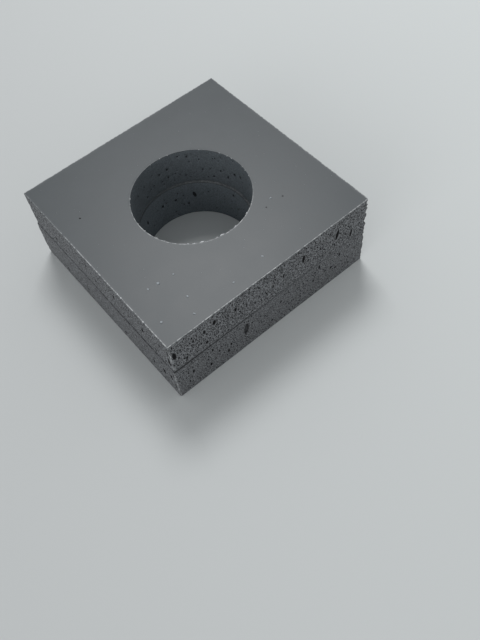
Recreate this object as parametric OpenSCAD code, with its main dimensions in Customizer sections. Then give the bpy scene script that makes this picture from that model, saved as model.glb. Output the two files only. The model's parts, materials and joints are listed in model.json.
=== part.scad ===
// Foam block: two square sheets of closed-cell foam, bonded face to face, with
// one round bore through both. All sizes are in millimetres. +Z is up and -Y is
// the front. The origin is at the middle of the block's lower face.

/* [Sheets] */
// Width of each sheet, left to right
sheet_w = 50.5; // [36:0.5:120]
// Depth of each sheet, front to back
sheet_d = 50; // [36:0.5:120]
// Thickness of the upper sheet
upper_t = 9.3; // [6:0.05:25]
// Thickness of the lower sheet
lower_t = 10.2; // [6:0.05:25]
// Thickness of the closed skin on both sides of a sheet, where no void opens
skin_t = 0.3; // [0.1:0.05:1]

/* [Bond] */
// Thickness of the adhesive film between the sheets
film_t = 0.12; // [0.05:0.01:0.5]
// How far the film stops short of the cut faces
film_setback = 0.35; // [0.1:0.05:2]
// How far the lower sheet is slipped to the left of the upper one
sheet_slip = 0.2; // [0:0.05:1]

/* [Bore] */
// Diameter of the bore
bore_d = 25; // [8:0.5:32]
// How far the bore's centre lies to the right of the block's middle
bore_right = 0.2; // [0:0.1:2]
// How far the bore's centre lies behind the block's middle
bore_back = 0.4; // [0:0.1:2]

/* [Voids] */
// Half the width of the narrowest scattered voids
void_min = 0.18; // [0.1:0.01:0.3]
// Half the width of the widest scattered voids
void_max = 0.36; // [0.3:0.01:0.5]
// Height of the most drawn-out scattered voids, in widths
void_draw = 3.4; // [1:0.1:5]
// Depth of every void below its cut face, in half-widths
void_depth = 1.3; // [0.5:0.1:2]
// Greatest lean of a void away from upright, in degrees
void_lean = 12; // [0:1:20]
// Area of outer cut face to each scattered void in the upper sheet
upper_area = 29; // [16:1:200]
// Area of outer cut face to each scattered void in the lower sheet
lower_area = 45; // [16:1:200]
// Area of bore wall to each scattered void in either sheet
bore_area = 103; // [30:1:200]

/* [Hidden] */
$fn = 160;
void_sides = 12;
foam_grey = [0.44, 0.46, 0.47];
film_grey = [0.20, 0.21, 0.22];

bore_r = bore_d / 2;
bore_run = PI * bore_d;
upper_base = lower_t + film_t;
cut_past = 1; // how far a cutter runs past the faces it opens
corner_clear = 1.5; // bare stretch of each cut face beside a corner
lone_clear = 1.2; // bare stretch to each side of a single large void
stray = 0.4; // how far a scattered void may lie from the middle of its stretch, as a share
upper_seed = 0.15; // where the upper sheet's scatter starts
lower_seed = 0.62; // where the lower sheet's scatter starts

// Steps of evenly spread sequences, which scatter without clumps or repeats
golden = (sqrt(5) - 1) / 2;
silver = sqrt(2) - 1;
bronze = (sqrt(13) - 3) / 2;

// The single large voids of the front face and the bore, each as
// [share of the way along, share of the way up the sheet, half-width, half-height, lean].
// The way along runs from -0.5 to 0.5, left to right. In the bore it is the turn from
// the bore's front, anticlockwise from above.
front_upper = [
    [-0.482, 0.56, 0.4, 1.2, -3], [-0.466, 0.4, 0.19, 0.43, 0], [-0.434, 0.2, 0.24, 0.47, 0],
    [-0.394, 0.6, 0.2, 0.43, 0], [-0.363, 0.31, 0.18, 0.38, 0], [-0.342, 0.63, 0.25, 0.58, 0],
    [-0.338, 0.21, 0.25, 0.5, 0], [-0.292, 0.7, 0.36, 0.76, 0], [-0.139, 0.47, 0.17, 0.6, 12],
    [-0.099, 0.33, 0.21, 0.38, 0], [-0.077, 0.43, 0.16, 0.45, 6], [-0.041, 0.35, 0.18, 0.34, 0],
    [-0.006, 0.42, 0.18, 0.64, 6], [0.049, 0.52, 0.21, 0.6, 8], [0.153, 0.58, 0.36, 1.15, 4],
    [0.177, 0.41, 0.2, 0.53, 0], [0.243, 0.5, 0.22, 0.36, 0], [0.293, 0.74, 0.22, 0.5, 6],
    [0.321, 0.26, 0.2, 0.42, 0], [0.334, 0.54, 0.44, 1.45, 10], [0.413, 0.25, 0.31, 1.1, 10]
];
front_lower = [
    [-0.444, 0.33, 0.2, 0.4, 0], [-0.336, 0.36, 0.28, 0.62, 0], [-0.318, 0.81, 0.22, 0.43, 0],
    [-0.29, 0.61, 0.19, 0.34, 0], [-0.246, 0.36, 0.26, 0.54, 0], [-0.23, 0.54, 0.22, 0.42, 0],
    [-0.148, 0.64, 0.48, 1.9, 4], [-0.016, 0.26, 0.26, 0.42, 0], [0.212, 0.55, 0.26, 0.36, 0],
    [0.278, 0.59, 0.22, 0.3, 0], [0.337, 0.44, 0.32, 0.36, 0], [0.358, 0.78, 0.22, 0.6, 0],
    [0.416, 0.26, 0.23, 0.31, 0]
];
bore_upper = [
    [0.247, 0.55, 0.24, 0.4, 0], [0.27, 0.49, 0.34, 0.36, 0], [0.318, 0.4, 0.2, 0.32, 0],
    [0.341, 0.16, 0.2, 0.28, 0], [0.41, 0.8, 0.18, 0.22, 0], [0.47, 0.58, 0.26, 0.3, 0],
    [0.496, 0.54, 0.2, 0.25, 0]
];
bore_lower = [
    [0.278, 0.82, 0.27, 0.33, 0], [0.404, 0.61, 0.34, 0.93, 12], [0.462, 0.57, 0.28, 0.36, 0],
    [-0.493, 0.6, 0.32, 0.4, 6]
];

function frac(x) = x - floor(x);

// A single large void's [place along, height, half-width, half-height, lean]
function placed(v, run, tall) = [v[0] * run, v[1] * tall, v[2], v[3], v[4]];

// Voids scattered over a face that is run long and tall high, one to each area, as
// [place along, height, half-width, half-height, lean]. Each keeps to its own stretch.
function scattered(run, tall, area, seed) =
    let (n = floor(run * tall / area))
    [for (i = [0 : n - 1])
        let (
            half_w = void_min + (void_max - void_min) * pow(frac(seed + i * silver), 2),
            half_h = half_w * (1 + (void_draw - 1) * frac(seed + i * bronze)),
            low = skin_t + half_h,
            place = (i + 0.5 + stray * (frac(seed + i * bronze) - 0.5)) / n - 0.5,
            lean = void_lean * (2 * frac(seed + i * silver) - 1)
        )
        [run * place, low + (tall - 2 * low) * frac(seed + i * golden), half_w, half_h, lean]];

function clear_of(v, singles) =
    len([for (s = singles) if (abs(s[0] - v[0]) < lone_clear) s]) == 0;

// The single large voids of a face, and the scattered ones that keep clear of them and
// of the bare stretch at each end of the run
function face_voids(run, tall, bare, area, seed, singles = []) =
    let (own = [for (s = singles) placed(s, run, tall)])
    concat(own, [for (v = scattered(run - 2 * bare, tall, area, seed)) if (clear_of(v, own)) v]);

function oval(half_w, half_h) =
    [for (k = [0 : void_sides - 1])
        let (turn = 360 * (k + 0.5) / void_sides)
        [half_w * cos(turn), half_h * sin(turn)]];

// A void: an upright oval pocket, drawn out as the foam rose, sunk below a cut face
// that looks along -Y
module void_pocket(half_w, half_h, lean) {
    rotate([90, 0, 0])
        rotate([0, 0, lean])
            linear_extrude(height = 2 * void_depth * half_w, center = true)
                polygon(oval(half_w, half_h));
}

// The voids of the cut face on one side of a sheet, which is turned from the front
// anticlockwise from above: wide across, and as far from the Z axis as out
module side_voids(turn, wide, out, tall, area, seed, singles = []) {
    rotate([0, 0, turn])
        for (v = face_voids(wide, tall, corner_clear, area, seed + turn * golden, singles))
            translate([v[0], -out, v[1]])
                void_pocket(v[2], v[3], v[4]);
}

// The voids of the bore's wall in one sheet
module bore_voids(tall, seed, singles) {
    for (v = face_voids(bore_run, tall, 0, bore_area, seed, singles))
        rotate([0, 0, 360 * v[0] / bore_run])
            translate([0, -bore_r, v[1]])
                void_pocket(v[2], v[3], v[4]);
}

// The bore's cutter, on the block's own axes
module bore_cutter(h) {
    translate([bore_right, bore_back, -cut_past])
        cylinder(h = h + 2 * cut_past, r = bore_r);
}

// One sheet, cut and bored, with the voids that the cuts opened. Its outline is moved
// aside by shift, and the bore stays on the block's own axis.
module sheet(tall, shift, area, seed, front, in_bore) {
    difference() {
        translate([shift - sheet_w / 2, -sheet_d / 2, 0])
            cube([sheet_w, sheet_d, tall]);
        bore_cutter(tall);
        translate([shift, 0, 0]) {
            side_voids(0, sheet_w, sheet_d / 2, tall, area, seed, front);
            side_voids(90, sheet_d, sheet_w / 2, tall, area, seed);
            side_voids(180, sheet_w, sheet_d / 2, tall, area, seed);
            side_voids(270, sheet_d, sheet_w / 2, tall, area, seed);
        }
        translate([bore_right, bore_back, 0])
            bore_voids(tall, seed, in_bore);
    }
}

module upper_sheet() {
    color(foam_grey)
        translate([0, 0, upper_base])
            sheet(upper_t, sheet_slip / 2, upper_area, upper_seed, front_upper, bore_upper);
}

module lower_sheet() {
    color(foam_grey)
        sheet(lower_t, -sheet_slip / 2, lower_area, lower_seed, front_lower, bore_lower);
}

// The film lies where the two sheets face each other, short of their cut faces,
// so that a fine groove runs round the block at the joint
module bond_film() {
    film_w = sheet_w - sheet_slip - 2 * film_setback;
    film_d = sheet_d - 2 * film_setback;
    color(film_grey)
        translate([0, 0, lower_t])
            difference() {
                translate([-film_w / 2, -film_d / 2, 0])
                    cube([film_w, film_d, film_t]);
                bore_cutter(film_t);
            }
}

upper_sheet();
bond_film();
lower_sheet();
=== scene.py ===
import json
import math
import random

import bpy
from mathutils import Matrix, Vector, noise
from mathutils.geometry import delaunay_2d_cdt

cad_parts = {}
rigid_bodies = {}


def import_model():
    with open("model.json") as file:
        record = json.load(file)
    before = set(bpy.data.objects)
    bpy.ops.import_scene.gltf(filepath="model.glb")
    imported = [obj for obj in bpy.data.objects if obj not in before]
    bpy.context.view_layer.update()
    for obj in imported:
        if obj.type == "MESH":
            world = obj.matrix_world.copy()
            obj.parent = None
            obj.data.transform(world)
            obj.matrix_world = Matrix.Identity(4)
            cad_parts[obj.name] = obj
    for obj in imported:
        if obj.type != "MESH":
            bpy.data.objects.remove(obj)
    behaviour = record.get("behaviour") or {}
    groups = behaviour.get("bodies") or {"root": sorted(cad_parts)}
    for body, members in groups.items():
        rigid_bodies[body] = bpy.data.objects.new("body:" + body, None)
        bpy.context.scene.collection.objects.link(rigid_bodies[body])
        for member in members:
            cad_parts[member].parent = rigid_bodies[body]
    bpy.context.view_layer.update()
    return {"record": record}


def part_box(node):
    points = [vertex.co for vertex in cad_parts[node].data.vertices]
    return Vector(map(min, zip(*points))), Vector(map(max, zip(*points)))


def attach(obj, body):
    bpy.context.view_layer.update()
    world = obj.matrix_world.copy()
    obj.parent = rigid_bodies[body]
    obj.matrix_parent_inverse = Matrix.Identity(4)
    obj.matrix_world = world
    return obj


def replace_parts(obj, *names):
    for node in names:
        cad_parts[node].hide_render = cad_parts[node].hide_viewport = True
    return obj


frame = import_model()

# Lengths below are in millimetres in the model's own frame, and MM turns them into metres.
MM = 0.001

# The edges of the cut faces
LIP = 0.1  # radius of a skin's edge
LIP_ARC = math.pi / 2 * LIP  # its developed length
LIP_ROWS = (0.0, 0.33, 0.66, 1.0)  # rows of points on it, as shares of that length
LIP_SPREAD, LIP_WAVES = 0.35, 1.9  # share by which the radius varies, and how fast
SHARP_LIP, RUBBED_LIP = 0.1, 1.9  # radius of the edges at the joint, in lips
BURR, BURR_WAVES = 0.035, 2.7  # height of the burr on upper edges, and how fast it varies
CORNER_R = 0.18  # radius of an upright corner between two cut faces
WOBBLE, WOBBLE_WAVES, WOBBLE_RISE = 0.03, 0.12, 0.25  # slow wander of the blade

# The spacing of the points
STEP_ALONG, STEP_UP = 0.45, 0.5  # along a skin's edge, and up the seam of a cut face
NEAR_CORNER = (0, 0.06, 0.12, 0.18, 0.27, 0.38, 0.52)  # along an edge, from a corner
COLUMNS = (0.06, 0.12, 0.24, 0.38, 0.52, 0.7)  # to the upright lines beside a corner
COLUMN_JITTER, SKIN_JITTER = 0.3, 0.2  # unevenness, in steps
SKIN_STEP, SKIN_CLEAR = 1.5, 0.9  # across a skin, and how far from its edge that starts
SKIN_RINGS = ((0.14, 1), (0.45, 2))  # rings inside that edge, with one point in so many
SKIN_RIPPLE = 0.005  # height of the skin's slow ripples
JOIN_WITHIN = 1e-7  # nearer places are one

# Torn and worn corners, counted anticlockwise from 0 at the front left
FRAY_REACH, FRAY_MOST = 0.5, 0.35  # how far the notches reach to each side, and inward
TEETH_CORNER, TEETH_REACH, TEETH_FADE = 1, 0.8, 0.5  # a corner with teeth, and their reach
TEETH = [  # the dents between them, as (height of the foot, depth there, height)
    (12.3, 0.45, 2.4), (15.1, 0.32, 1.7), (17.0, 0.18, 0.9), (18.1, 0.3, 1.2), (19.4, 0.2, 0.5),
    (10.6, 0.2, 1.2), (8.2, 0.14, 1.3), (5.6, 0.16, 1.6), (3.1, 0.12, 1.4),
]
WHITE_REACH, WHITE_LEAST = 0.34, 0.25  # how far from a corner it is white, and how white
FADE_FROM, FADE_OVER, FADE = 26, 14, 0.6  # where the left edges get less white, and how much

# Painted shade along the joint, from the front left corner
JOINT_SHADE_FRONT, JOINT_SHADE_LEAST = 26, 0.25  # how far it runs along the front, and how dark beyond
JOINT_SHADE_LEFT, JOINT_SHADE_LEFT_MOST = 14, 0.3  # where it is darkest on the left, and how dark there

# Steps of the evenly spread sequences that part.scad scatters its voids by
GOLDEN = (math.sqrt(5) - 1) / 2
SILVER = math.sqrt(2) - 1
BRONZE = (math.sqrt(13) - 3) / 2

# The voids of part.scad: its scatter, and the single large voids, each as
# [share of the way along, share of the way up, half-width, half-height, lean in degrees]
VOID_MIN, VOID_MAX, VOID_DRAW, VOID_LEAN = 0.18, 0.36, 3.4, 12
VOID_DEPTH = 1.3
SKIN_T, CORNER_CLEAR, LONE_CLEAR, BORE_AREA, STRAY = 0.3, 1.5, 1.2, 103, 0.4
SHEETS = {
    "upper_sheet": {
        "area": 29,  # of outer cut face to each scattered void
        "seed": 0.15,
        "front": [
            [-0.482, 0.56, 0.4, 1.2, -3], [-0.466, 0.4, 0.19, 0.43, 0],
            [-0.434, 0.2, 0.24, 0.47, 0], [-0.394, 0.6, 0.2, 0.43, 0],
            [-0.363, 0.31, 0.18, 0.38, 0], [-0.342, 0.63, 0.25, 0.58, 0],
            [-0.338, 0.21, 0.25, 0.5, 0], [-0.292, 0.7, 0.36, 0.76, 0],
            [-0.139, 0.47, 0.17, 0.6, 12], [-0.099, 0.33, 0.21, 0.38, 0],
            [-0.077, 0.43, 0.16, 0.45, 6], [-0.041, 0.35, 0.18, 0.34, 0],
            [-0.006, 0.42, 0.18, 0.64, 6], [0.049, 0.52, 0.21, 0.6, 8],
            [0.153, 0.58, 0.36, 1.15, 4], [0.177, 0.41, 0.2, 0.53, 0], [0.243, 0.5, 0.22, 0.36, 0],
            [0.293, 0.74, 0.22, 0.5, 6], [0.321, 0.26, 0.2, 0.42, 0], [0.334, 0.54, 0.44, 1.45, 10],
            [0.413, 0.25, 0.31, 1.1, 10],
        ],
        "bore": [
            [0.247, 0.55, 0.24, 0.4, 0], [0.27, 0.49, 0.34, 0.36, 0], [0.318, 0.4, 0.2, 0.32, 0],
            [0.341, 0.16, 0.2, 0.28, 0], [0.41, 0.8, 0.18, 0.22, 0], [0.47, 0.58, 0.26, 0.3, 0],
            [0.496, 0.54, 0.2, 0.25, 0],
        ],
        "medium": (2.0, 0.12),  # cells on each square millimetre outside and in the bore
        "small": (2.0, 0.5),
        # Tone of the lower and upper edges outside, and then in the bore: 1 is white, from wear and
        # painted highlight, and -1 is dark, painted shade along the joint
        "edge_tone": (-1.0, 1.0, 0.2, 1.0),
        "fray": 0.6,  # depth of the ragged notches along the upright corners
        "whiten": (1.0, 0.5, 0.4, 0.5),  # how white each upright corner is
        "worn_side": -120,  # direction of the bore's palest edge, in degrees, white there from wear and painted highlight
        "bore_lip": 1.0,  # radius of the bore's upper edge, in lips
        # How far the bore's wall lies off its true place: rightward, backward and outward
        "bore_off": (0.0, 0.0, 0.0),
        "bulge": 0.0,  # how far the cut faces swell at half height
        # Torn cells of the left face, as (way from the front corner, up, half-width, half-height)
        "torn": [
            (0.97, 2.8, 0.4, 1.5), (4.2, 1.4, 0.28, 0.45), (6.1, 6.0, 0.32, 0.45),
            (4.5, 5.15, 0.15, 0.3), (13.0, 2.2, 0.16, 0.3), (15.2, 7.1, 0.17, 0.35),
            (14.5, 4.9, 0.15, 0.3), (0.7, 6.4, 0.22, 0.9), (2.4, 1.4, 0.22, 0.5),
        ],
        "random": 11,
        "grain": "coarse",
        "cut_light_tone": 1.0,  # how pale the cut faces are; it differs between the sheets as painted shade, darker on the lower one
        "cut_contrast": 0.95,  # between the web and the cells too fine to model
        "bore_light_tone": 0.95,  # how pale the bore's wall is; it differs between the sheets as painted light, paler on the lower one
    },
    "lower_sheet": {
        "area": 45,
        "seed": 0.62,
        "front": [
            [-0.444, 0.33, 0.2, 0.4, 0], [-0.336, 0.36, 0.28, 0.62, 0],
            [-0.318, 0.81, 0.22, 0.43, 0], [-0.29, 0.61, 0.19, 0.34, 0],
            [-0.246, 0.36, 0.26, 0.54, 0], [-0.23, 0.54, 0.22, 0.42, 0],
            [-0.148, 0.64, 0.48, 1.9, 4], [-0.016, 0.26, 0.26, 0.42, 0],
            [0.212, 0.55, 0.26, 0.36, 0], [0.278, 0.59, 0.22, 0.3, 0], [0.337, 0.44, 0.32, 0.36, 0],
            [0.358, 0.78, 0.22, 0.6, 0], [0.416, 0.26, 0.23, 0.31, 0],
        ],
        "bore": [
            [0.278, 0.82, 0.27, 0.33, 0], [0.404, 0.61, 0.34, 0.93, 12],
            [0.462, 0.57, 0.28, 0.36, 0], [-0.493, 0.6, 0.32, 0.4, 6],
        ],
        "medium": (1.0, 0.08),
        "small": (3.8, 0.4),
        "edge_tone": (0.4, -1.0, 0.4, 0.26),
        "fray": 0.5,
        "whiten": (1.0, 0.4, 0.4, 0.4),
        "worn_side": 0,
        "bore_lip": 3.8,
        "bore_off": (-0.26, -0.08, -0.2),
        "bulge": 0.1,
        "torn": [
            (4.1, 5.5, 0.45, 1.2), (4.3, 8.7, 0.3, 0.52), (2.4, 8.9, 0.25, 0.5),
            (12.1, 8.4, 0.17, 0.3), (13.5, 6.3, 0.17, 0.3), (7.1, 6.6, 0.15, 0.3),
            (1.54, 6.5, 0.34, 1.2), (0.6, 8.4, 0.18, 0.8), (0.75, 3.8, 0.24, 1.0),
        ],
        "random": 23,
        "grain": "fine",
        "cut_light_tone": 0.93,
        "cut_contrast": 0.75,
        "bore_light_tone": 1.22,
    },
}

# Kinds of cell: sides of the mouth, its unevenness, rings below it as (share of the mouth,
# depth in half-widths), the depth of the bottom in half-widths, and how much painted shade darkens
# it inside
LARGE = (14, 0.04, [(0.95, 0.22), (0.82, 0.7), (0.5, 1.12)], VOID_DEPTH, 1)
SHALLOW = (14, 0.04, [(0.95, 0.48), (0.8, 0.6), (0.5, 0.5)], 0.45, 0.38)
MEDIUM = (6, 0.1, [(0.84, 0.85)], 1.25, 1)
SMALL = (5, 0.1, [], 1.3, 1)
TORN = 1.12  # size of a void's torn mouth, in sizes of the void
SHALLOW_FROM, SHALLOW_WIDE = 0.46, 1.35  # half-width of shallow voids, and their widening
MEDIUM_SIZE, MEDIUM_BARE = (0.13, 0.25), 0.08  # half-widths, and how far from the skins
SMALL_SIZE, SMALL_BARE = (0.06, 0.12), 0.02
DRAW = (0.9, 1.8)  # heights in widths, least and greatest
CELL_LEAN = 14  # greatest lean, in degrees
TRIES = 12  # for a place with room, before a cell is given up
WALL = 0.04  # least wall left between two cells
CALM_FROM, CALM, CALM_SKIPS = 16, 34, 0.6  # a stretch of the left face with few open cells
MOUTH_CLEAR = 0.05  # how far a line's points keep from a mouth
WIDEST = 1.0  # no mouth reaches so far from its middle along the face

# Dirt and damage: specks on the skin as (x, y, width), shreds of skin on the bore's edge as
# (direction in degrees, length), crumbs on the left edge as (y, length)
PALE_SPECKS = [
    (-17.9, -12.6, 0.6), (-14.5, -12.9, 0.4), (-17.0, -22.5, 0.4), (-22.6, -19.9, 0.5),
    (-15.6, -18.7, 0.45), (-20.1, -12.4, 0.4), (-7.3, -22.1, 0.4), (0.6, -21.2, 0.4),
    (11.3, -11.4, 0.4),
]
DARK_SPECKS = [(-20.1, 11.0, 0.35), (13.4, -12.7, 0.3), (9.1, -12.6, 0.3)]
RIM_SHREDS = [
    (-118, 1.0), (-131, 0.5), (-125, 0.4), (-99, 1.2), (-104, 0.5), (-84, 0.4), (-66, 0.45),
]
EDGE_CRUMBS = [(-10.5, 0.5), (-9.3, 0.4), (-17.6, 0.6), (-3.5, 0.3), (-14.2, 0.3)]
SPECK_GAIN = 1.6  # how much wider a speck is than the list says
FINE_SPECKS, FINE_WIDTH = 90, (0.07, 0.16)  # how many, and their least and greatest width
RIM_CRUMBS, RIM_LENGTH = 26, (0.12, 0.3)
OUTER_CRUMBS, OUTER_LENGTH = 70, (0.1, 0.28)
CRUMB_SIDES = 7

bore_mount = next(m for m in frame["record"]["mounts"] if m["name"] == "bore")
BORE_R = bore_mount["dims"]["r_mm"]
BORE_X, BORE_Y = bore_mount["pos_m"][0] / MM, bore_mount["pos_m"][1] / MM


# ---- the voids of part.scad


def frac(x):
    return x - math.floor(x)


def scattered(run, tall, area, seed):
    """part.scad's scattered voids, as (along, up, half-width, half-height, lean)."""
    n = math.floor(run * tall / area)
    voids = []
    for i in range(n):
        half_w = VOID_MIN + (VOID_MAX - VOID_MIN) * frac(seed + i * SILVER) ** 2
        half_h = half_w * (1 + (VOID_DRAW - 1) * frac(seed + i * BRONZE))
        low = SKIN_T + half_h
        place = (i + 0.5 + STRAY * (frac(seed + i * BRONZE) - 0.5)) / n - 0.5
        up = low + (tall - 2 * low) * frac(seed + i * GOLDEN)
        lean = VOID_LEAN * (2 * frac(seed + i * SILVER) - 1)
        voids.append((run * place, up, half_w, half_h, lean))
    return voids


def face_voids(run, tall, bare, area, seed, singles=()):
    """part.scad's voids of one face: the single ones, and those scattered clear of them."""
    own = [(v[0] * run, v[1] * tall, v[2], v[3], v[4]) for v in singles]
    more = scattered(run - 2 * bare, tall, area, seed)
    return own + [v for v in more if all(abs(s[0] - v[0]) >= LONE_CLEAR for s in own)]


# ---- outlines of cut faces


def rough(*place):
    """Smooth noise of about -1 to 1 at a place in three numbers. Where the last is a
    constant, it only picks a pattern of its own."""
    return noise.noise(Vector(place))


def turned(x, y, angle):
    c, s = math.cos(angle), math.sin(angle)
    return x * c - y * s, x * s + y * c


class Block:
    """The outer outline of a sheet, anticlockwise from the front left corner."""

    hollow = False
    column_step = 0.22  # between the points of a column

    def __init__(self, low, high, fray=0.0, whiten=(0, 0, 0, 0)):
        self.low, self.high, self.fray, self.whiten = low, high, fray, whiten
        wide, deep = high[0] - low[0], high[1] - low[1]
        self.sides = [wide, deep, wide, deep]
        self.starts = [sum(self.sides[:k]) for k in range(4)]
        self.length = sum(self.sides)

    def from_corner(self, s):
        """How far s is from the nearest upright corner, and that corner's number."""
        half = self.length / 2
        near = [abs((s - c + half) % self.length - half) for c in self.starts]
        k = min(range(4), key=lambda i: near[i])
        return near[k], k

    def at(self, s):
        """The place at s along the outline, and the direction into the foam."""
        s %= self.length
        k = max(i for i in range(4) if self.starts[i] <= s)
        u, side = s - self.starts[k], self.sides[k]
        turn = math.pi / 2 * k
        along, inward = turned(1, 0, turn), turned(0, 1, turn)
        corner = (self.high if k in (1, 2) else self.low)[0], (self.high if k > 1 else self.low)[1]
        if CORNER_R <= u <= side - CORNER_R:
            return corner[0] + along[0] * u, corner[1] + along[1] * u, inward[0], inward[1]
        start = u < CORNER_R
        off = u if start else u - side
        centre = CORNER_R if start else side - CORNER_R
        angle = math.pi / 4 * (off / CORNER_R - (1 if start else -1))
        out = turned(-inward[0], -inward[1], angle)
        cx = corner[0] + along[0] * centre + inward[0] * CORNER_R
        cy = corner[1] + along[1] * centre + inward[1] * CORNER_R
        return cx + out[0] * CORNER_R, cy + out[1] * CORNER_R, -out[0], -out[1]

    def ragged(self, s, z):
        """How far the notches of the nearest upright corner move the face, as (x, y)."""
        off, k = self.from_corner(s % self.length)
        if off >= TEETH_REACH:
            return 0.0, 0.0
        torn = rough(3.7 * k, z * 1.3, 0.3) + 0.6 * rough(k, z * 3.1, 7)
        depth = self.fray * min(FRAY_MOST, max(0.0, torn + 0.1))
        depth *= max(0.0, 1 - off / FRAY_REACH) ** 2
        if k == TEETH_CORNER:
            here = [tooth for tooth in TEETH if tooth[0] <= z < tooth[0] + tooth[2]]
            dents = [deep * (1 - (z - foot) / high) for foot, deep, high in here]
            depth += max(dents, default=0.0) * min(1.0, (TEETH_REACH - off) / TEETH_FADE)
        return turned(depth, 0, math.pi / 2 * k + math.pi / 4)

    def edge_tone(self, s, z):
        """How white the upright corners are rubbed, in patches, down each corner."""
        off, k = self.from_corner(s % self.length)
        patch = 0.6 + 0.9 * rough(5.1 * k, z * 1.1, 1.7)
        near = max(0.0, 1 - off / WHITE_REACH)
        return self.whiten[k] * near * min(1.0, max(WHITE_LEAST, patch))

    def whitening_share(self, s):
        """How white the edges are at s, from wear and painted highlight: less towards the back of
        the left side.
        """
        left = -s % self.length
        if left >= self.sides[3]:
            return 1.0
        return 1 - FADE * min(1.0, max(0.0, (left - FADE_FROM) / FADE_OVER))

    def joint_shade(self, s):
        """How much painted shade darkens the joint at s: most at the front left corner, less on the
        left.
        """
        front, left = s % self.length, -s % self.length
        if left < self.sides[3]:
            return JOINT_SHADE_LEFT_MOST * math.exp(-(((left - JOINT_SHADE_LEFT) / JOINT_SHADE_LEFT) ** 2))
        return JOINT_SHADE_LEAST + (1 - JOINT_SHADE_LEAST) * math.exp(-((front / JOINT_SHADE_FRONT) ** 2))

    def roundness(self, s, upper, joint):
        """The radius of a sheet's edge at s, in lips: fine at the joint, but rubbed round
        where the lower sheet sticks out, on the left."""
        if not joint:
            return 1.0
        left = -s % self.length
        fine = SHARP_LIP + self.joint_shade(s)
        rubbed = min(1.0, max(0.0, min(left, self.sides[3] - left))) if upper else 0.0
        return fine + (RUBBED_LIP - fine) * rubbed

    def row_points(self):
        """Places along a skin's edge: even, and closer together round the corners."""
        places, last = [], NEAR_CORNER[-1]
        for start, side in zip(self.starts, self.sides):
            n = round((side - 2 * last) / STEP_ALONG)
            middle = [last + (side - 2 * last) * i / n for i in range(1, n)]
            places += [start + u for u in NEAR_CORNER]
            places += [start + u for u in middle]
            places += [start + (side - u) for u in reversed(NEAR_CORNER[1:])]
        return places + [self.length]

    def columns(self):
        """Upright lines of extra points beside the corners, which fray."""
        offsets = [-u for u in reversed(COLUMNS)] + [0.0] + list(COLUMNS)
        return [(c + off) % self.length for c in self.starts for off in offsets]

    def inset(self, x, y):
        """How far a place lies inside the outline."""
        return min(x - self.low[0], self.high[0] - x, y - self.low[1], self.high[1] - y)


class Bore:
    """The bore's wall, anticlockwise from above, starting midway between two large voids."""

    hollow = True
    length = 2 * math.pi * BORE_R
    column_step = 0.7

    def __init__(self, voids, plan):
        self.worn_side, self.lip = math.radians(plan["worn_side"]), plan["bore_lip"]
        right, back, outward = plan["bore_off"]
        self.x, self.y, self.radius = BORE_X + right, BORE_Y + back, BORE_R + outward
        places = sorted(void[0] % self.length for void in voids)
        stretches = [(b - a, a) for a, b in zip(places, places[1:] + [places[0] + self.length])]
        wide, start = max(stretches)
        self.start = start + wide / 2

    def direction(self, s):
        return (self.start + s) / BORE_R - math.pi / 2

    def at(self, s):
        """The place at s along the wall, and the direction into the foam."""
        angle = self.direction(s)
        out = (math.cos(angle), math.sin(angle))
        return self.x + self.radius * out[0], self.y + self.radius * out[1], out[0], out[1]

    def ragged(self, s, z):
        return 0.0, 0.0

    def edge_tone(self, s, z):
        return 0.0

    def whitening_share(self, s):
        """How pale the bore's edges are at s, from wear and painted highlight: pale on one side,
        hardly at all opposite.
        """
        facing = math.cos(self.direction(s) - self.worn_side)
        return min(1.0, max(0.06, 0.1 + 1.6 * facing))

    def roundness(self, s, upper, joint):
        return self.lip if upper else 1.0

    def row_points(self):
        n = round(self.length / (0.8 * STEP_ALONG))
        return [self.length * i / n for i in range(n + 1)]

    def columns(self):
        """Upright lines of extra points, which keep the wall smooth and round."""
        n = round(self.length / self.column_step)
        return [self.length * (i + 0.5) / n for i in range(n)]


# ---- cells in a cut face


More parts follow.
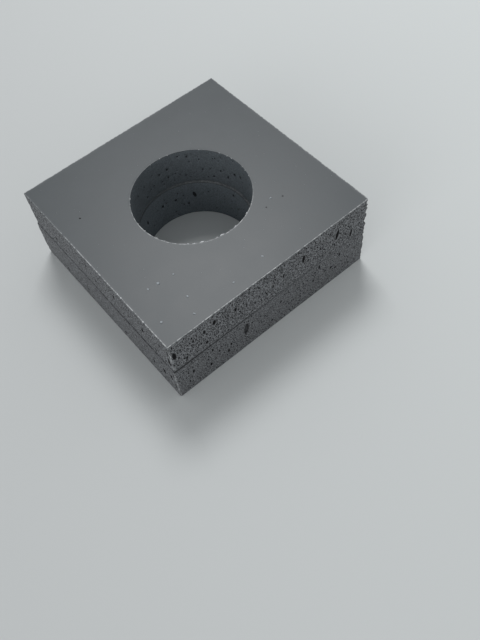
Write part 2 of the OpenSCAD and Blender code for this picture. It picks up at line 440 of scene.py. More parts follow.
class Cells:
    """The cells of one cut face, none nearer another than WALL."""

    BIN = 1.1  # wider and taller than the sum of two small or medium cells
    DIRECTIONS = [(math.cos(k * math.pi / 12), math.sin(k * math.pi / 12)) for k in range(12)]

    def __init__(self, length, tall):
        self.length, self.tall = length, tall
        self.cells, self.bins, self.large_ones = [], {}, []

    def clash(self, s, t, reaches, other):
        """Whether no direction parts a cell from another, by their reaches along it."""
        ds = (s - other[0] + self.length / 2) % self.length - self.length / 2
        dt = t - other[1]
        return all(
            abs(ds * c + dt * u) < mine + its + WALL
            for (c, u), mine, its in zip(self.DIRECTIONS, reaches, other[2])
        )

    def add(self, s, t, w, h, lean, kind):
        """Adds a cell if there is room, and says whether there was."""
        lean = math.radians(lean)
        cos, sin = math.cos(lean), math.sin(lean)
        reaches = [
            math.hypot(w * (c * cos - u * sin), h * (c * sin + u * cos))
            for c, u in self.DIRECTIONS
        ]
        i, j = int(s / self.BIN), int(t / self.BIN)
        bins = [(i + a, j + b) for a in (-1, 0, 1) for b in (-1, 0, 1)]
        near = [other for place in bins for other in self.bins.get(place, ())]
        if any(self.clash(s, t, reaches, other) for other in self.large_ones + near):
            return False
        self.cells.append((s, t, w, h, lean, kind))
        if kind in (LARGE, SHALLOW):
            self.large_ones.append((s, t, reaches))
        else:
            self.bins.setdefault((i, j), []).append((s, t, reaches))
        return True

    def add_void(self, s, up, w, h, lean):
        """Adds a void of part.scad, with its torn mouth."""
        wide, kind = (SHALLOW_WIDE, SHALLOW) if w > SHALLOW_FROM else (1, LARGE)
        self.add(s, up - LIP, w * TORN * wide, h * TORN, lean, kind)

    def fill(self, rng, kind, size, count, bare, calm):
        """Scatters up to count cells, clear of the skins by bare and of the seam. In a calm
        stretch of the left face, which ends CALM_FROM from the front corner, most of them
        are left out."""
        calm_end = self.length - CALM_FROM
        for _ in range(count):
            for _ in range(TRIES):
                w = size[0] + (size[1] - size[0]) * rng.random() ** 1.6
                h = w * (DRAW[0] + (DRAW[1] - DRAW[0]) * rng.random() ** 1.5)
                s = rng.uniform(w + WALL, self.length - w - WALL)
                t = rng.uniform(h + bare, self.tall - h - bare)
                if calm_end - calm < s < calm_end and rng.random() < CALM_SKIPS:
                    break
                if self.add(s, t, w, h, rng.uniform(-CELL_LEAN, CELL_LEAN), kind):
                    break


def mouth(cell, rng):
    """The uneven mouth of a cell, as steps (along, up) from its middle."""
    _, _, w, h, lean, (sides, uneven, _, _, _) = cell
    ring = []
    for k in range(sides):
        turn = 2 * math.pi * (k + 2 * rng.uniform(-uneven, uneven)) / sides
        reach = 1 - 2 * rng.uniform(0, uneven)
        ring.append(turned(w * math.cos(turn) * reach, h * math.sin(turn) * reach, -lean))
    return ring


def inside(cell, s, t, margin):
    """Whether a place lies in a cell's mouth, or within a margin of it."""
    along, up = turned(s - cell[0], t - cell[1], cell[4])
    return (along / (cell[2] + margin)) ** 2 + (up / (cell[3] + margin)) ** 2 < 1


# ---- closed meshes


SKIN_SLOT, CUT_SLOT, BORE_SLOT = 0, 1, 2  # the materials of a sheet
CHART_GAP = 0.8  # between the charts of the map, in millimetres of foam
CHART_SIDE = 106.0  # side of the square that the map fills
MARGIN = 1  # between the map's edge and its charts


class Shell:
    """A closed mesh, gathered chart by chart: places, faces, their map and attributes."""

    def __init__(self):
        self.points, self.deep, self.worn = [], [], []
        self.faces, self.maps, self.slots = [], [], []

    def point(self, place, deep=0.0, worn=0.0):
        self.points.append(place)
        self.deep.append(deep)
        self.worn.append(worn)
        return len(self.points) - 1

    def face(self, ids, spots, slot):
        if len(set(ids)) == len(ids):
            self.faces.append(ids)
            self.maps.append(spots)
            self.slots.append(slot)


def finished(shell, name, slot, materials):
    """Makes the Blender object of a shell with the given materials, smooth shaded where the slot is
    foam.
    """
    mesh = bpy.data.meshes.new(name)
    mesh.from_pydata([[v * MM for v in p] for p in shell.points], [], shell.faces)
    if shell.maps[0]:
        layer = mesh.uv_layers.new(name="OFBake")
        spots = [v / CHART_SIDE for face in shell.maps for spot in face for v in spot]
        layer.data.foreach_set("uv", spots)
    mesh.polygons.foreach_set("material_index", shell.slots)
    mesh.polygons.foreach_set("use_smooth", [slot == "foam"] * len(shell.faces))
    for key, values in (("deep", shell.deep), ("worn", shell.worn)):
        mesh.attributes.new(key, "FLOAT", "POINT").data.foreach_set("value", values)
    for material in materials:
        mesh.materials.append(material)
    mesh.update()
    piece = bpy.data.objects.new(name, mesh)
    bpy.context.collection.objects.link(piece)
    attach(piece, "root")
    return piece


def same_way(a, b, c):
    """Whether a, b, c go round their loop the way its points were put in."""
    return a < b < c or b < c < a or c < a < b


def spanned(places, edges):
    """The triangles that span the places and keep the edges, by the places' numbers."""
    out = delaunay_2d_cdt(places, edges, [], 0, JOIN_WITHIN, True)
    return [[out[3][i][0] for i in triangle] for triangle in out[2]]


def spanned_ring(places, n_rim, n_hole):
    """The triangles between the outer loop, which comes first in places, and the inner
    loop, which comes next, by way of the places that follow."""
    rim, hole = range(n_rim), range(n_rim, n_rim + n_hole)
    edges = [(k, (k + 1) % n_rim) for k in rim]
    edges += [(k, n_rim + (k + 1 - n_rim) % n_hole) for k in hole]
    kept = []
    for ks in spanned(places, edges):
        fills_hole = all(k in hole for k in ks) and same_way(*ks)
        past_rim = all(k in rim for k in ks) and not same_way(*ks)
        if not fills_hole and not past_rim:
            kept.append(ks)
    return kept


# ---- one foam sheet


class Wall:
    """One cut face that runs round an outline. Its points are gathered on the developed
    face, s along and t up, where t is 0 and tall at the starts of the lips."""

    SURFACE, SUNK = -1, -2  # marks of points on no rim: on the face, and inside a cell

    def __init__(self, shell, outline, low, high, edge_tone, bulge, chart):
        self.shell, self.outline, self.low, self.high = shell, outline, low, high
        self.edge_tone, self.bulge, self.chart = edge_tone, bulge, chart
        self.joint = [value < 0 for value in edge_tone]
        self.tall = high - low - 2 * LIP
        self.slot = BORE_SLOT if outline.hollow else CUT_SLOT
        self.places, self.ids, self.rims, self.edges = [], [], [], []

    def profile(self, t, lip):
        """Height and inset at t, with lips of the given radius."""
        if t < 0:
            angle = min(-t / LIP_ARC, 1) * math.pi / 2
            return self.low + lip * (1 - math.sin(angle)), lip * (1 - math.cos(angle))
        if t > self.high - self.low - 2 * LIP:
            angle = min((t - (self.high - self.low) + 2 * LIP) / LIP_ARC, 1) * math.pi / 2
            return self.high - lip + lip * math.sin(angle), lip * (1 - math.cos(angle))
        return self.low + lip + t * (self.high - self.low - 2 * lip) / self.tall, 0.0

    def edge_tone_at(self, s, t, z, over):
        """How the wall's edge is toned: white above 0, from wear and painted highlight, and below 0
        darkened by painted shade along the joint.
        """
        worn = self.edge_tone[t > 0]
        if worn < 0:
            at_edge = t <= 0 or t >= self.tall
            worn *= self.outline.joint_shade(s) * (at_edge * 0.8 + 0.2 * over)
        else:
            worn *= min(1.0, 1.15 * over) * self.outline.whitening_share(s)
        # Faint painted shade at the joint gives way to the corner's rubbed white
        return max(worn, self.outline.edge_tone(s, z)) if worn > -0.05 else worn

    def put(self, s, t, depth=0.0, deep=0.0, rim=SURFACE):
        """Adds a point, sunk by depth and darkened by painted shade as deep says, and returns its
        number.
        """
        upper = t > self.tall / 2
        lip = LIP * (1 + LIP_SPREAD * rough(s * LIP_WAVES, self.low, 3.0))
        lip *= self.outline.roundness(s, upper, self.joint[upper])
        z, inset = self.profile(t, lip)
        x, y, nx, ny = self.outline.at(s)
        wander = rough(x * WOBBLE_WAVES, y * WOBBLE_WAVES, z * WOBBLE_RISE + self.low)
        swell = self.bulge * math.sin(math.pi * (z - self.low) / (self.high - self.low))
        sink = depth + inset + WOBBLE * (0.5 + wander) - swell
        torn_x, torn_y = self.outline.ragged(s, z)
        over = max(-t, t - self.tall, 0.0) / LIP_ARC
        if t > 0:
            z += BURR * max(0.0, rough(s * BURR_WAVES, self.low + 1, 9.0) + 0.1) * over * over
        worn = self.edge_tone_at(s, t, z, over) if deep == 0 else 0.0
        place = (x + nx * sink + torn_x, y + ny * sink + torn_y, z)
        return self.note(self.shell.point(place, deep, worn), s, t, rim)

    def note(self, point, s, t, rim=SURFACE):
        """Notes a point of the shell on the developed face, and returns its number there."""
        self.ids.append(point)
        self.places.append(Vector((s, t)))
        self.rims.append(rim)
        return len(self.ids) - 1

    def add(self, ks, slot):
        spots = self.chart([self.places[k] for k in ks])
        if self.outline.hollow:
            ks, spots = ks[::-1], spots[::-1]
        self.shell.face([self.ids[k] for k in ks], spots, slot)

    def lay_rows(self):
        """Lays the rows along both edges and the seam where the face meets its own start.
        Returns the lowest row and the highest, as points of the shell."""
        along = self.outline.row_points()
        levels = [0.0 - share * LIP_ARC for share in reversed(LIP_ROWS)]
        levels += [self.tall + share * LIP_ARC for share in LIP_ROWS]
        rows = []
        for level in levels:
            row = [self.put(s, level) for s in along[:-1]]
            row.append(self.note(self.ids[row[0]], along[-1], level))
            self.edges += zip(row, row[1:])
            rows.append(row)
        left, right = ([row[end] for row in rows] for end in (0, -1))
        n = round(self.tall / STEP_UP)
        for i in range(1, n):
            t = self.tall * i / n
            left.append(self.put(0.0, t))
            right.append(self.note(self.ids[left[-1]], along[-1], t))
        for side in (left, right):
            side.sort(key=lambda k: self.places[k].y)
            self.edges += zip(side, side[1:])
        return [self.ids[k] for k in rows[0][:-1]], [self.ids[k] for k in rows[-1][:-1]]

    def open_cell(self, number, cell, rng):
        """Opens a cell: the rim of its mouth, the rings below it and its bottom."""
        s, t, w, _, _, (sides, _, rings, bottom, dark) = cell
        steps = mouth(cell, rng)
        last = [self.put(s + x, t + y, rim=number) for x, y in steps]
        self.edges += zip(last, last[1:] + last[:1])
        for share, depth in rings:
            # Painted shade: the deeper a ring lies, the darker its colour
            deep = dark * min(1.0, depth)
            ring = [
                self.put(s + share * x, t + share * y, depth * w, deep, self.SUNK)
                for x, y in steps
            ]
            for k in range(sides):
                m = (k + 1) % sides
                self.add((last[k], last[m], ring[m]), self.slot)
                self.add((last[k], ring[m], ring[k]), self.slot)
            last = ring
        middle = self.put(s, t, bottom * w, dark * min(1.0, bottom), self.SUNK)
        for k in range(sides):
            self.add((last[k], last[(k + 1) % sides], middle), self.slot)

    def lay_columns(self, cells, rng):
        """Lays upright lines of extra points, clear of the cells' mouths."""
        n = round(self.tall / self.outline.column_step)
        for s in self.outline.columns():
            near = [cell for cell in cells if abs(cell[0] - s) < WIDEST]
            for i in range(1, n):
                t = self.tall * (i + rng.uniform(-COLUMN_JITTER, COLUMN_JITTER)) / n
                if s > 0.0 and not any(inside(cell, s, t, MOUTH_CLEAR) for cell in near):
                    self.put(s, t)

    def close(self):
        """Spans the face between its points, leaving the mouths of the cells open."""
        flat = [k for k, rim in enumerate(self.rims) if rim != self.SUNK]
        number_of = {k: i for i, k in enumerate(flat)}
        edges = [(number_of[a], number_of[b]) for a, b in self.edges]
        for triangle in spanned([self.places[k] for k in flat], edges):
            ks = [flat[i] for i in triangle]
            rims = {self.rims[k] for k in ks}
            if len(rims) == 1 and min(rims) >= 0 and same_way(*ks):
                continue
            heights = [self.places[k].y for k in ks]
            on_lip = max(heights) > self.tall + 1e-6 or min(heights) < -1e-6
            skinned = on_lip and not self.joint[max(heights) > self.tall]
            self.add(ks, SKIN_SLOT if skinned else self.slot)


def cut_wall(wall, cells, rng):
    """Makes a cut face, and returns its lower and upper edge, as points of the shell."""
    low_edge, high_edge = wall.lay_rows()
    for number, cell in enumerate(cells):
        wall.open_cell(number, cell, rng)
    wall.lay_columns(cells, rng)
    wall.close()
    return low_edge, high_edge


def skin(shell, block, outer, inner, z, up, rng, chart):
    """Adds a skin between the outer wall's edge and the bore's, as points of the shell."""
    ids = outer + inner
    places = [Vector(shell.points[i][:2]) for i in ids]

    def put(x, y):
        ripple = rough(x * 0.16, y * 0.16, z) + 0.4 * rough(x * 0.5, y * 0.5, z)
        shift = SKIN_RIPPLE * (ripple - 1)
        ids.append(shell.point((x, y, z + (shift if up else -shift))))
        places.append(Vector((x, y)))

    centre = Vector((BORE_X, BORE_Y))
    outside = [(places[k], block.at(s)[2:]) for k, s in zip(range(len(outer)), block.row_points())]
    in_bore = [(p, (p - centre).normalized()) for p in places[len(outer):]]
    for inward, every in SKIN_RINGS:
        for p, way in outside[::every] + in_bore[::every]:
            put(p.x + way[0] * inward, p.y + way[1] * inward)
    clear = LIP + SKIN_CLEAR
    wide, deep = block.sides[0], block.sides[1]
    nx, ny = round(wide / SKIN_STEP), round(deep / SKIN_STEP)
    for i in range(nx + 1):
        for j in range(ny + 1):
            to_right = i + 0.5 * (j % 2) + rng.uniform(-SKIN_JITTER, SKIN_JITTER)
            x = block.low[0] + wide * to_right / nx
            y = block.low[1] + deep * (j + rng.uniform(-SKIN_JITTER, SKIN_JITTER)) / ny
            from_bore = math.hypot(x - BORE_X, y - BORE_Y) - BORE_R
            if block.inset(x, y) > clear and from_bore > clear:
                put(x, y)
    for ks in spanned_ring(places, len(outer), len(inner)):
        if not up:
            ks.reverse()
        shell.face([ids[k] for k in ks], [chart(places[k]) for k in ks], SKIN_SLOT)


def outer_cells(plan, block, full):
    """The large cells of a sheet's outer faces: part.scad's voids, and the torn cells."""
    cells = Cells(block.length, full - 2 * LIP)
    for k, side in enumerate(block.sides):
        singles = plan["front"] if k == 0 else ()
        seed = plan["seed"] + 90 * k * GOLDEN
        voids = face_voids(side, full, CORNER_CLEAR, plan["area"], seed, singles)
        for along, up, w, h, lean in voids:
            s = block.starts[k] + side / 2 + along
            cells.add_void(s, up, w, h, lean)
    for way, up, w, h in plan["torn"]:
        cells.add(block.length - way, up - LIP, w, h, 0, LARGE if h > 0.5 else MEDIUM)
    return cells


def wall_chart(block, strip):
    """The map of an outer wall: its four sides as strips above one another."""

    def spots(places):
        middle = sum(p.x for p in places) / 3
        k = max(i for i in range(4) if block.starts[i] <= middle + 1e-9)
        y = MARGIN + LIP_ARC + k * strip
        return [(MARGIN + p.x - block.starts[k], y + p.y) for p in places]

    return spots


def foam_sheet(name, materials):
    """One sheet of foam as a closed mesh, where its CAD node is."""
    plan = SHEETS[name]
    low, high = ([v / MM for v in corner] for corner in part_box(name))
    full = high[2] - low[2]
    tall = full - 2 * LIP
    block = Block(low, high, plan["fray"], plan["whiten"])
    bore_voids = face_voids(Bore.length, full, 0, BORE_AREA, plan["seed"], plan["bore"])
    bore = Bore(bore_voids, plan)
    rng = random.Random(plan["random"])
    shell = Shell()

    outside, in_bore = outer_cells(plan, block, full), Cells(bore.length, tall)
    for along, up, w, h, lean in bore_voids:
        s = (along - bore.start) % bore.length
        in_bore.add_void(s, up, w, h, lean)
    for cells, medium, small in zip((outside, in_bore), plan["medium"], plan["small"]):
        area = cells.length * tall
        calm = CALM if cells is outside else 0.0
        cells.fill(rng, MEDIUM, MEDIUM_SIZE, round(medium * area), MEDIUM_BARE, calm)
        cells.fill(rng, SMALL, SMALL_SIZE, round(small * area), SMALL_BARE, calm)

    strip = tall + 2 * LIP_ARC + CHART_GAP
    skin_y = 5 * strip + MARGIN

    def bore_map(places):
        return [(MARGIN + p.x, MARGIN + LIP_ARC + 4 * strip + p.y) for p in places]

    def skin_map(x):
        return lambda p: (x + p.x - low[0], skin_y + p.y - low[1])

    edge_tone, span = plan["edge_tone"], (low[2], high[2])
    outer_wall = Wall(shell, block, *span, edge_tone[:2], plan["bulge"], wall_chart(block, strip))
    outer_low, outer_high = cut_wall(outer_wall, outside.cells, rng)
    bore_wall = Wall(shell, bore, *span, edge_tone[2:], 0.0, bore_map)
    bore_low, bore_high = cut_wall(bore_wall, in_bore.cells, rng)
    skin(shell, block, outer_high, bore_high, high[2], True, rng, skin_map(MARGIN))
    skin(shell, block, outer_low, bore_low, low[2], False, rng, skin_map(CHART_SIDE / 2))
    piece = finished(shell, name.replace("sheet", "foam"), "foam", materials)
    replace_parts(piece, name)


# ---- materials


def new_material(name):
    material = bpy.data.materials.new(name)
    material.use_nodes = True
    return material, material.node_tree


def node(tree, kind, **settings):
    made = tree.nodes.new(kind)
    for key, value in settings.items():
        if key in made.inputs:
            made.inputs[key].default_value = value
        else:
            setattr(made, key, value)
    return made


def ramp(tree, value, low, high, to_low=0.0, to_high=1.0):
    """A value taken from the range low to high onto the range to_low to to_high."""
    ends = {"From Min": low, "From Max": high, "To Min": to_low, "To Max": to_high}
    made = node(tree, "ShaderNodeMapRange", **ends)
    tree.links.new(value, made.inputs["Value"])
    return made.outputs["Result"]


def scaled_place(tree, across, up):
    """The place on the piece, in cells of the given width and height in millimetres."""
    place = node(tree, "ShaderNodeTexCoord").outputs["Object"]
    made = node(tree, "ShaderNodeVectorMath", operation="MULTIPLY")
    made.inputs[1].default_value = (1 / (across * MM), 1 / (across * MM), 1 / (up * MM))
    tree.links.new(place, made.inputs[0])
    return made.outputs["Vector"]


def mix(tree, blend, factor, a, b):
    """Mixes two colours. Each is a socket or a colour, and the factor a socket or a number."""
    made = node(tree, "ShaderNodeMix", data_type="RGBA", blend_type=blend)
    for value, socket in ((factor, made.inputs[0]), (a, made.inputs[6]), (b, made.inputs[7])):
        if isinstance(value, bpy.types.NodeSocket):
            tree.links.new(value, socket)
        elif isinstance(value, tuple):
            socket.default_value = (*value, 1)
        else:
            socket.default_value = value
    return made.outputs[2]


def grain_value(tree, across, up, detail=2.0):
    """Noise with grains of about the given width and height in millimetres."""
    place = scaled_place(tree, across, up)
    made = node(tree, "ShaderNodeTexNoise", Scale=1.0, Detail=detail)
    tree.links.new(place, made.inputs["Vector"])
    return made.outputs["Fac"]


def cell_value(tree, across, up):
    """How far a place is from the middle of its cell, for cells of the given size."""
    place = scaled_place(tree, across, up)
    made = node(tree, "ShaderNodeTexVoronoi", Scale=1.0)
    tree.links.new(place, made.inputs["Vector"])
    return made.outputs["Distance"]


def attribute(tree, name):
    return node(tree, "ShaderNodeAttribute", attribute_name=name).outputs["Fac"]


def bump(tree, height, distance_mm, strength=1.0):
    made = node(tree, "ShaderNodeBump", Strength=strength, Distance=distance_mm * MM)
    tree.links.new(height, made.inputs["Height"])
    return made.outputs["Normal"]


def toned(colour, by):
    return tuple(by * v for v in colour)


def made_of(material, colour, roughness, shine=0.5, relief=None):
    """Gives a material its colour, roughness, shine and fine relief, and returns it."""
    inputs = material.node_tree.nodes["Principled BSDF"].inputs
    given = {"Base Color": colour, "Roughness": roughness, "Specular IOR Level": shine}
    for key, value in {**given, "Normal": relief}.items():
        if isinstance(value, bpy.types.NodeSocket):
            material.node_tree.links.new(value, inputs[key])
        elif value is not None:
            inputs[key].default_value = value
    return material


SKIN_GREY = (0.078, 0.090, 0.098)
CUT_GREY = (0.18, 0.186, 0.196)
BORE_GREY, BORE_CONTRAST = (0.132, 0.152, 0.168), 0.25
# Painted shade: the colours deep inside the open cells, darker than the foam
CELL_SHADE_GREY = (0.012, 0.012, 0.014)
BORE_CELL_SHADE_GREY = (0.034, 0.039, 0.044)
# Wear and painted highlight: the white laid along the upper edges and the bore's pale side
WEAR_AND_HIGHLIGHT_GREY = (0.62, 0.635, 0.645)
# Painted shade: the dark grey laid along the joint's groove
JOINT_SHADE_GREY = (0.02, 0.021, 0.023)
FULL_SHADE_DEPTH = 0.25  # depth in a cell, in half-widths, from which its painted shade is full


def edge_wear_and_painted_light(tree, colour, least):
    """Whitens a colour in shreds along the edges, for wear and as painted highlight, and darkens it
    along the joint as painted shade.
    """
    edge_tone = attribute(tree, "worn")
    shred = ramp(tree, grain_value(tree, 0.45, 0.45, detail=3), 0.4, 0.62, least, 1)
    white = node(tree, "ShaderNodeMath", operation="MULTIPLY", use_clamp=True)
    tree.links.new(edge_tone, white.inputs[0])
    tree.links.new(shred, white.inputs[1])
    colour = mix(tree, "MIX", white.outputs[0], colour, WEAR_AND_HIGHLIGHT_GREY)
    return mix(tree, "MIX", ramp(tree, edge_tone, 0, -1), colour, JOINT_SHADE_GREY)


def skin_material():
    """The closed satin skin: faintly mottled, finely grained, pale along its edges from wear and
    painted highlight, and darkened by painted shade at the joint.
    """
    material, tree = new_material("foam_skin")
    mottle = ramp(tree, grain_value(tree, 5, 5, detail=4), 0.3, 0.7)
    colour = mix(tree, "MIX", mottle, toned(SKIN_GREY, 0.96), toned(SKIN_GREY, 1.04))
    grain = grain_value(tree, 0.12, 0.12, detail=3)
    colour = mix(tree, "MULTIPLY", 0.12, colour, grain)
    colour = edge_wear_and_painted_light(tree, colour, 0.2)
    roughness = ramp(tree, mottle, 0, 1, 0.37, 0.39)
    return made_of(material, colour, roughness, 0.36, bump(tree, grain, 0.004))


def cut_material(name, grey, contrast, cell_shade_colour):
    """A cut face: a matt web between open cells, with painted shade in cells too fine to model and
    deep in the open ones.
    """
    material, tree = new_material(name)
    web = ramp(tree, cell_value(tree, 0.26, 0.34), 0.18, 0.7)
    dark, pale = toned(grey, 1 - contrast), toned(grey, 1 + 0.4 * contrast)
    colour = mix(tree, "MIX", web, dark, pale)
    # Painted shade: darker deeper in the open cells
    deep = ramp(tree, attribute(tree, "deep"), 0, FULL_SHADE_DEPTH)
    colour = mix(tree, "MIX", deep, colour, cell_shade_colour)
    colour = edge_wear_and_painted_light(tree, colour, 0.0)
    return made_of(material, colour, 0.72, 0.35, bump(tree, web, 0.02, 0.7))


def film_material():
    """The adhesive film: dull, with a fine grain."""
    material, tree = new_material("bond_film")
    grain = grain_value(tree, 0.3, 0.1, detail=3)
    mottle = ramp(tree, grain, 0.3, 0.7)
    colour = mix(tree, "MIX", mottle, (0.13, 0.145, 0.155), (0.19, 0.205, 0.215))
    return made_of(material, colour, 0.6, relief=bump(tree, grain, 0.01))


def dust_material(name, colour):
    """Matt crumbs of one colour, a little uneven."""
    material, tree = new_material(name)
    grain = grain_value(tree, 0.1, 0.1)
    colour = mix(tree, "MIX", grain, toned(colour, 0.8), toned(colour, 1.2))
    return made_of(material, colour, 0.8)


def floor_material():
    """A pale floor with painted light: a little darker on the left, lighter on the right."""
    material, tree = new_material("pale_floor")
    along = node(tree, "ShaderNodeVectorMath", operation="DOT_PRODUCT")
    along.inputs[1].default_value = (0.914, -0.406, 0)
    tree.links.new(node(tree, "ShaderNodeTexCoord").outputs["Object"], along.inputs[0])
    # Painted light and shade: the floor's tone rises across it, darker on the left
    shade = ramp(tree, along.outputs["Value"], -0.15, 0.15)
    colour = mix(tree, "MIX", shade, (0.53, 0.545, 0.55), (0.80, 0.835, 0.835))
    return made_of(material, colour, 0.9, 0.2)


# ---- the adhesive film


FILM_OUTSIDE, FILM_INSIDE = 400, 220  # points round its outer edge, and round its hole
FILM_PROUD, FILM_SUNK = 0.33, 0.38  # how far it fills the groove, and how much less where the joint's painted shade is darkest
FILM_ROW, FILM_STRIP = 100, 0.3  # its edges on the map: length of a row, and its height
FILM_ACROSS, FILM_UP = 51, 8  # its faces on the map


def film_loops(shell, block, z):
    """The points of the film's ragged outer edge and of its hole's edge at the height z."""
    ring, hole = [], []
    for k in range(FILM_OUTSIDE):
        s = block.length * k / FILM_OUTSIDE
        x, y, nx, ny = block.at(s)
        sink = 0.12 * max(0.0, rough(s * 0.9, 2.0, 4.0)) - FILM_PROUD + FILM_SUNK * block.joint_shade(s)
        ring.append(shell.point((x + nx * sink, y + ny * sink, z)))
    for k in range(FILM_INSIDE):
        turn = 2 * math.pi * k / FILM_INSIDE
        r = BORE_R + 0.05 * (0.5 + 0.5 * rough(turn * 9, 5.0, 1.0))
        hole.append(shell.point((BORE_X + r * math.cos(turn), BORE_Y + r * math.sin(turn), z)))
    return ring, hole


def film_edge(shell, below, above, length, map_y, hollow):
    """An edge face of the film between two loops of points, with its strip on the map."""
    n = len(below)
    wide = length / n
    for k in range(n):
        m = (k + 1) % n
        row, u = divmod(k * wide, FILM_ROW)
        x, y = MARGIN + u, map_y + row * 0.5
        quad = [below[k], below[m], above[m], above[k]]
        spots = [(x, y), (x + wide, y), (x + wide, y + FILM_STRIP), (x, y + FILM_STRIP)]
        if hollow:
            quad.reverse()
            spots.reverse()
        shell.face(quad, spots, 0)


def film_face(shell, ring, hole, low, level):
    """The lower face of the film, level 0, or the upper one, level 1."""
    ids = ring + hole
    places = [Vector(shell.points[i][:2]) for i in ids]
    x = MARGIN + FILM_ACROSS * level
    for ks in spanned_ring(places, len(ring), len(hole)):
        if level == 0:
            ks.reverse()
        spots = [(x + places[k].x - low[0], FILM_UP + places[k].y - low[1]) for k in ks]
        shell.face([ids[k] for k in ks], spots, 0)


def bond_film(material):
    """The adhesive film: a flat plate with the bore through it and a ragged edge."""
    low, high = ([v / MM for v in corner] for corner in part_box("bond_film"))
    block = Block(low, high)
    shell = Shell()
    below, above = (film_loops(shell, block, z) for z in (low[2], high[2]))
    film_edge(shell, below[0], above[0], block.length, MARGIN, False)
    film_edge(shell, below[1], above[1], Bore.length, MARGIN + 2, True)
    film_face(shell, *below, low, 0)
    film_face(shell, *above, low, 1)
    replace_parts(finished(shell, "adhesive_film", "bond", [material]), "bond_film")


# ---- dust and flakes


def crumb(shell, place, size, turn, slot, rng):
    """A closed, uneven crumb of the given length, width and height, turned about Z."""
    rings = []
    for level, share in ((-0.25, 0.8), (0.35, 0.75)):
        ring = []
        for k in range(CRUMB_SIDES):
            angle = 2 * math.pi * (k + rng.uniform(-0.2, 0.2)) / CRUMB_SIDES
            reach = 0.5 * share * rng.uniform(0.65, 1.25)
            long, wide = size[0] * reach * math.cos(angle), size[1] * reach * math.sin(angle)
            x, y = turned(long, wide, turn)
            z = size[2] * (level + rng.uniform(-0.12, 0.12))
            ring.append(shell.point((place[0] + x, place[1] + y, place[2] + z)))
        rings.append(ring)
    low = shell.point((place[0], place[1], place[2] - 0.45 * size[2]))
    top = shell.point((place[0], place[1], place[2] + 0.5 * size[2]))
    for k in range(CRUMB_SIDES):
        m = (k + 1) % CRUMB_SIDES
        a, b, c, d = rings[0][k], rings[0][m], rings[1][m], rings[1][k]
        for ids in ((a, b, c), (a, c, d), (b, a, low), (d, c, top)):
            shell.face(list(ids), (), slot)


def specks(shell, low, high, rng):
    """Specks on the upper skin: those of the lists, and a fine dust."""
    top = high[2]
    for slot, listed in enumerate((PALE_SPECKS, DARK_SPECKS)):
        for x, y, wide in listed:
            wide *= SPECK_GAIN
            size = (wide, 0.7 * wide, 0.15 * wide)
            crumb(shell, (x, y, top + 0.04 * wide), size, rng.uniform(0, math.pi), slot, rng)
    for _ in range(FINE_SPECKS):
        x, y = rng.uniform(low[0] + 0.5, high[0] - 0.5), rng.uniform(low[1] + 0.5, high[1] - 0.5)
        if math.hypot(x - BORE_X, y - BORE_Y) > BORE_R + 0.4:
            wide = rng.uniform(*FINE_WIDTH)
            crumb(shell, (x, y, top), (wide, 0.7 * wide, 0.3 * wide), rng.uniform(0, 3), 0, rng)


def torn_skin(shell, low, high, rng):
    """Shreds and crumbs of torn skin on the sheet's upper edges: in the bore, and outside
    with the listed ones on the left."""
    top = high[2]
    torn = [(math.radians(turn), long) for turn, long in RIM_SHREDS]
    torn += [
        (rng.uniform(-math.pi, math.pi), rng.uniform(*RIM_LENGTH)) for _ in range(RIM_CRUMBS)
    ]
    reach = BORE_R + 0.02
    for angle, long in torn:
        place = (BORE_X + reach * math.cos(angle), BORE_Y + reach * math.sin(angle), top - 0.02)
        size = (long, 0.12 + 0.2 * long, 0.12 + 0.16 * long)
        crumb(shell, place, size, angle + math.pi / 2, 2, rng)
    for y, long in EDGE_CRUMBS:
        crumb(shell, (low[0] + 0.12, y, top), (long, 0.7 * long, 0.5 * long), math.pi / 2, 2, rng)
    block = Block(low, high)
    for _ in range(OUTER_CRUMBS):
        s, long = rng.uniform(0, block.length), rng.uniform(*OUTER_LENGTH)
        x, y, nx, ny = block.at(s)
        place = (x + 0.08 * nx, y + 0.08 * ny, top - rng.uniform(0, 0.06))
        crumb(shell, place, (long, 0.16, 0.12), math.atan2(ny, nx) + math.pi / 2, 2, rng)


def dust():
    """Specks on the skin, and crumbs and shreds of torn skin on its edges."""
    low, high = ([v / MM for v in corner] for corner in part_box("upper_sheet"))
    rng = random.Random(5)
    shell = Shell()
    specks(shell, low, high, rng)
    torn_skin(shell, low, high, rng)
    shades = [
        dust_material("dust_pale", (0.36, 0.39, 0.42)),
        dust_material("dust_dark", (0.025, 0.025, 0.025)),
        dust_material("torn_skin", (0.66, 0.68, 0.7)),
    ]
    finished(shell, "dust", "foam", shades)


# ---- studio, in metres


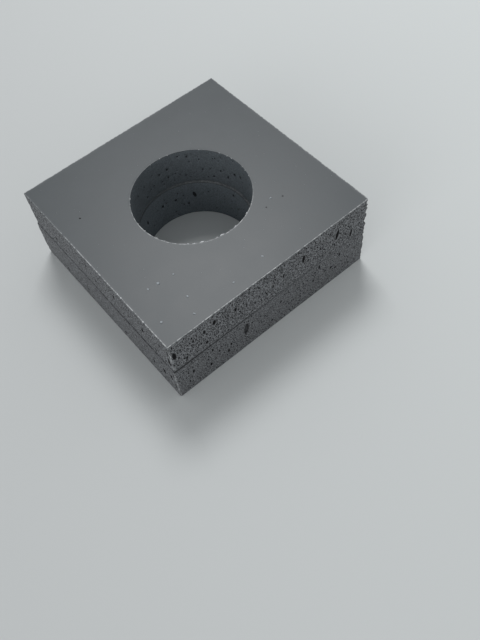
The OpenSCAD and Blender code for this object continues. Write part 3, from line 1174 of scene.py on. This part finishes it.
def add_camera():
    camera = bpy.data.objects.new("camera", bpy.data.cameras.new("camera"))
    bpy.context.collection.objects.link(camera)
    bpy.context.scene.camera = camera
    ahead = Vector((0.29216, 0.43476, -0.85184)).normalized()
    above = Vector((0.57701, 0.63010, 0.51965))
    above = (above - ahead * above.dot(ahead)).normalized()
    across = ahead.cross(above)
    turn = Matrix((across, above, -ahead)).transposed()
    camera.matrix_world = Matrix.Translation((-0.04865, -0.08413, 0.12729)) @ turn.to_4x4()
    camera.data.lens = 39.47
    camera.data.sensor_width = 36
    camera.data.clip_start = 0.01


def add_floor():
    mesh = bpy.data.meshes.new("floor")
    half = 1.5
    corners = [(-half, -half, 0), (half, -half, 0), (half, half, 0), (-half, half, 0)]
    mesh.from_pydata(corners, [], [(0, 1, 2, 3)])
    floor = bpy.data.objects.new("floor", mesh)
    bpy.context.collection.objects.link(floor)
    mesh.materials.append(floor_material())


def add_world():
    """An even soft light from all round, and a paler plain background."""
    world = bpy.data.worlds.new("studio")
    bpy.context.scene.world = world
    world.use_nodes = True
    tree = world.node_tree
    back = tree.nodes["Background"]
    path = node(tree, "ShaderNodeLightPath")
    seen = path.outputs["Is Camera Ray"]
    colour = mix(tree, "MIX", seen, (0.42, 0.43, 0.435), (0.57, 0.59, 0.59))
    tree.links.new(colour, back.inputs["Color"])
    back.inputs["Strength"].default_value = 1.0


def soft_light(name, place, target, side, power):
    data = bpy.data.lights.new(name, "AREA")
    data.shape = "SQUARE"
    data.size = side
    data.energy = power
    light = bpy.data.objects.new(name, data)
    bpy.context.collection.objects.link(light)
    light.location = place
    aim = Vector(target) - Vector(place)
    light.rotation_euler = aim.to_track_quat("-Z", "Y").to_euler()


def studio():
    bpy.context.scene.view_settings.view_transform = "Standard"
    add_camera()
    add_floor()
    add_world()
    soft_light("main", (0.19, 0.30, 0.60), (0, 0, 0), 0.25, 2.0)
    soft_light("left", (-0.45, -0.15, 0.2), (0, 0, 0.01), 0.3, 0.42)


# ---- the scene

studio()
skin_finish = skin_material()
for sheet_name, plan in SHEETS.items():
    # The tones of a sheet's cut faces and bore hold painted light and shade
    cut_grey = toned(CUT_GREY, plan["cut_light_tone"])
    cut_finish = cut_material(plan["grain"] + "_cut", cut_grey, plan["cut_contrast"], CELL_SHADE_GREY)
    bore_grey = toned(BORE_GREY, plan["bore_light_tone"])
    bore_finish = cut_material(plan["grain"] + "_bore", bore_grey, BORE_CONTRAST, BORE_CELL_SHADE_GREY)
    foam_sheet(sheet_name, [skin_finish, cut_finish, bore_finish])
bond_film(film_material())
dust()
